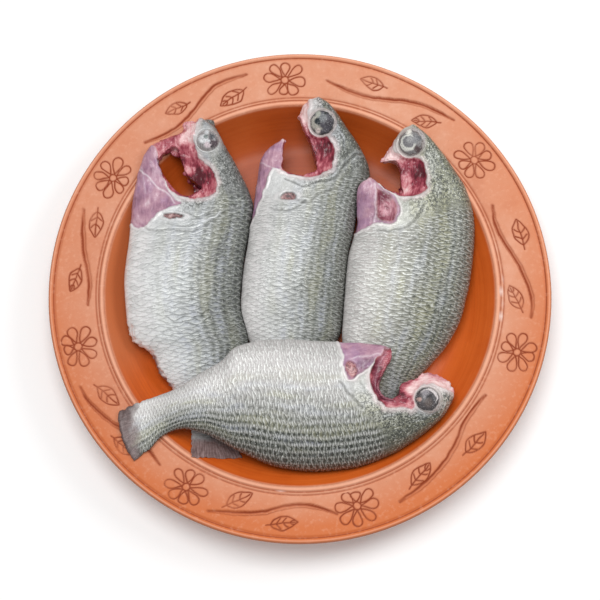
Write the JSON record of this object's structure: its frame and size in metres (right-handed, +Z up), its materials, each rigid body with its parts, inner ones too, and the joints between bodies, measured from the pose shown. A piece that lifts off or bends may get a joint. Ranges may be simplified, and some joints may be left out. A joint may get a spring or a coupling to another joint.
{
  "type": "plate of raw whole fish",
  "caption": "Raw whole fish with scales on, cleaned through the gills, lying on a round terracotta plate with an engraved rim.",
  "frame": {"origin": "centre of the plate's foot, on the table", "axes": "+Z up, +Y from the crossing fish towards the heads of the other fish, +X to the right when seen along +Y"},
  "size_m": [0.28, 0.28, 0.0391],
  "materials": {
    "terracotta": "satin fired clay",
    "fish_left_skin": "wet silver scales",
    "fish_middle_skin": "wet silver scales",
    "fish_right_skin": "wet grey-green scales",
    "fish_front_skin": "wet grey-green scales"
  },
  "bodies": {
    "root": {"plate": "terracotta", "fish_left": "fish_left_skin", "fish_middle": "fish_middle_skin", "fish_right": "fish_right_skin", "fish_front": "fish_front_skin"}
  },
  "joints": []
}
